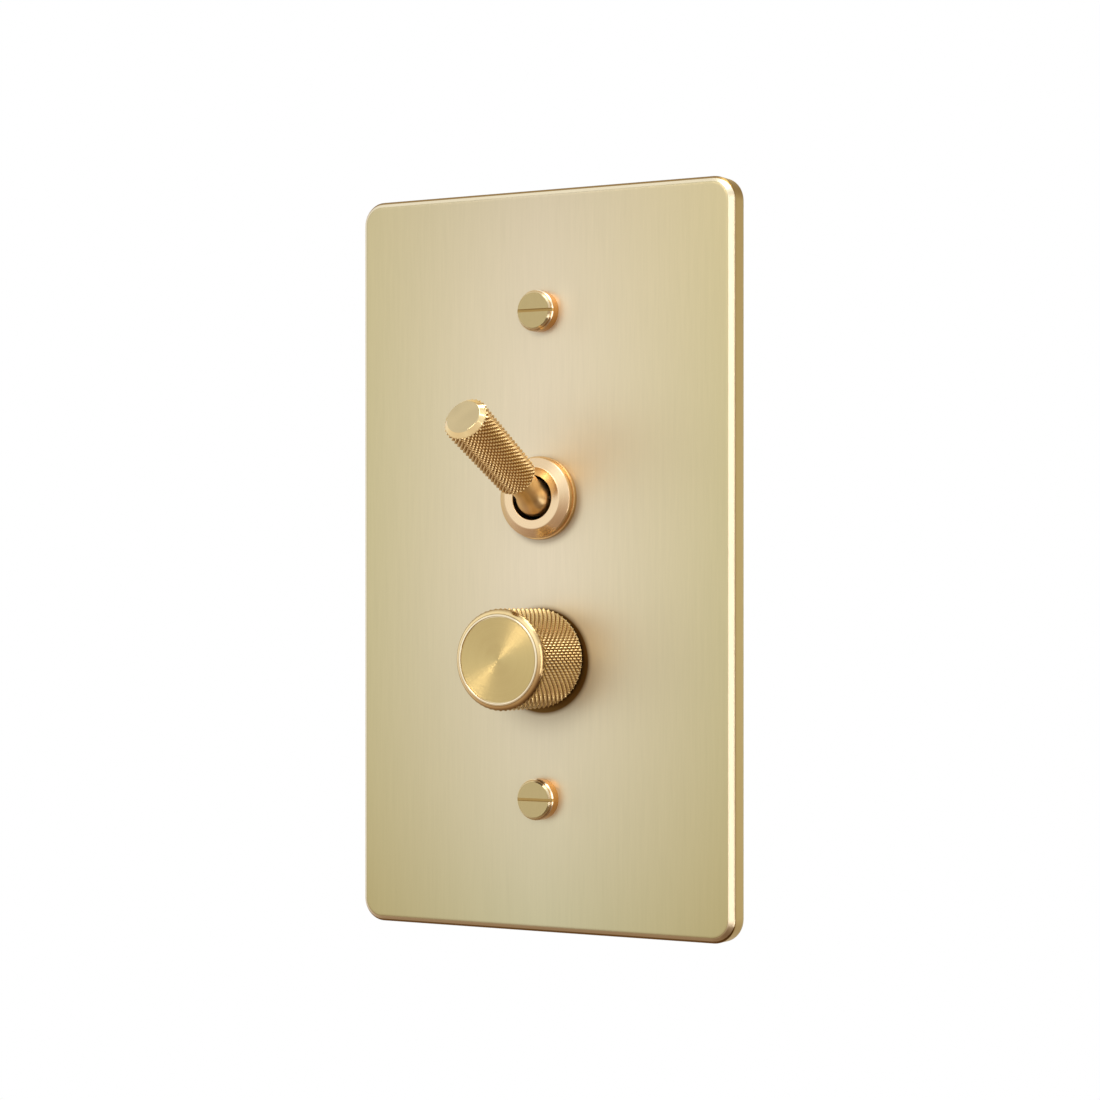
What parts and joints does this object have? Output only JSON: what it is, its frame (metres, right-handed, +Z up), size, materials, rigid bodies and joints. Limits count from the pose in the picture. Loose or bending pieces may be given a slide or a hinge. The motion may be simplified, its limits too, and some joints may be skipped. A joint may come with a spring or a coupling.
{
  "type": "toggle and dimmer light switch",
  "caption": "Bevelled brass wall plate with a knurled toggle lever that switches, a knurled rotary knob that dims, slotted box screws and closed switch and dimmer modules behind.",
  "frame": {"origin": "midway between the two box screws, on the plane of the wall that the plate's rim rests on", "axes": "+X to the right of someone facing the plate, +Y into the wall, +Z up along the plate"},
  "size_m": [0.0732, 0.0565, 0.1271],
  "materials": {
    "plate_brass": "satin, brushed upright",
    "screw_brass": "satin",
    "ring_brass": "turned satin",
    "lever_brass": "satin",
    "knurled_brass": "diamond knurl with a turned tip",
    "knob_brass": "diamond knurl with a spun face",
    "bushing_brass": "machined",
    "contact_brass": "rolled strip",
    "terminal_brass": "bright",
    "contact_silver": "silver alloy",
    "bright_steel": "drawn",
    "dark_steel": "black oxide",
    "zinc_steel": "zinc plated",
    "ground_green": "green lacquer",
    "sink_aluminium": "mill",
    "black_phenolic": "moulded",
    "grey_moulding": "moulded, fine grain",
    "white_nylon": "moulded",
    "brown_laminate": "paper laminate",
    "board_green": "glass laminate",
    "grey_ferrite": "sintered",
    "wound_copper": "enamelled wire",
    "capacitor_yellow": "moulded box"
  },
  "bodies": {
    "base": {"face_plate": "plate_brass", "plate_screws": "screw_brass", "ground_washer": "zinc_steel", "ground_screw": "ground_green", "toggle_bushing": "bushing_brass", "toggle_ring": "ring_brass", "cradle_pin": "bright_steel", "common_terminal": "contact_brass", "upper_terminal": "contact_brass", "lower_terminal": "contact_brass", "fixed_contacts": "contact_silver", "switch_terminal_screws": "terminal_brass", "switch_case": "black_phenolic", "switch_case_screws": "zinc_steel", "dimmer_bushing": "bushing_brass", "dimmer_washer": "zinc_steel", "dimmer_nut": "bushing_brass", "pot_case": "zinc_steel", "resistance_track": "brown_laminate", "heat_sink": "sink_aluminium", "triac": "black_phenolic", "triac_screw": "zinc_steel", "circuit_board": "board_green", "choke_core": "grey_ferrite", "choke_winding": "wound_copper", "capacitor": "capacitor_yellow", "dimmer_terminals": "contact_brass", "dimmer_terminal_screws": "terminal_brass", "dimmer_case": "grey_moulding", "dimmer_case_screws": "zinc_steel"},
    "lever": {"toggle_lever": "lever_brass", "toggle_grip": "knurled_brass", "toggle_pivot_pin": "dark_steel", "plunger_spring": "bright_steel"},
    "plunger": {"plunger": "white_nylon"},
    "cradle": {"contact_cradle": "contact_brass", "moving_contacts": "contact_silver"},
    "knob": {"dimmer_knob": "knob_brass", "dimmer_shaft": "bushing_brass", "shaft_clip": "bright_steel", "rotor": "white_nylon", "wiper": "contact_brass"}
  },
  "joints": [
    {"name": "lever_tilt", "type": "hinge", "parent": "base", "child": "lever", "pos_m": [0, -0.0059, 0.00975], "axis": [1, 0, 0], "range_deg": [0, 57]},
    {"name": "cradle_tilt", "type": "hinge", "parent": "base", "child": "cradle", "pos_m": [0, 0.0047, 0.00975], "axis": [1, 0, 0], "range_deg": [-19.95, 0]},
    {"name": "plunger_slide", "type": "slide", "parent": "lever", "child": "plunger", "axis": [0, -0.8788, 0.4772], "range_m": [0, 0.0012], "stiffness_N_per_m": 400, "springref_m": -0.001, "deforming": ["plunger_spring"]},
    {"name": "knob_turn", "type": "hinge", "parent": "base", "child": "knob", "pos_m": [0, 0, -0.0176], "axis": [0, 1, 0], "range_deg": [-150, 150]}
  ],
  "couplings": [
    {"joint": "cradle_tilt", "follows": "lever_tilt", "ratio": -0.35}
  ]
}
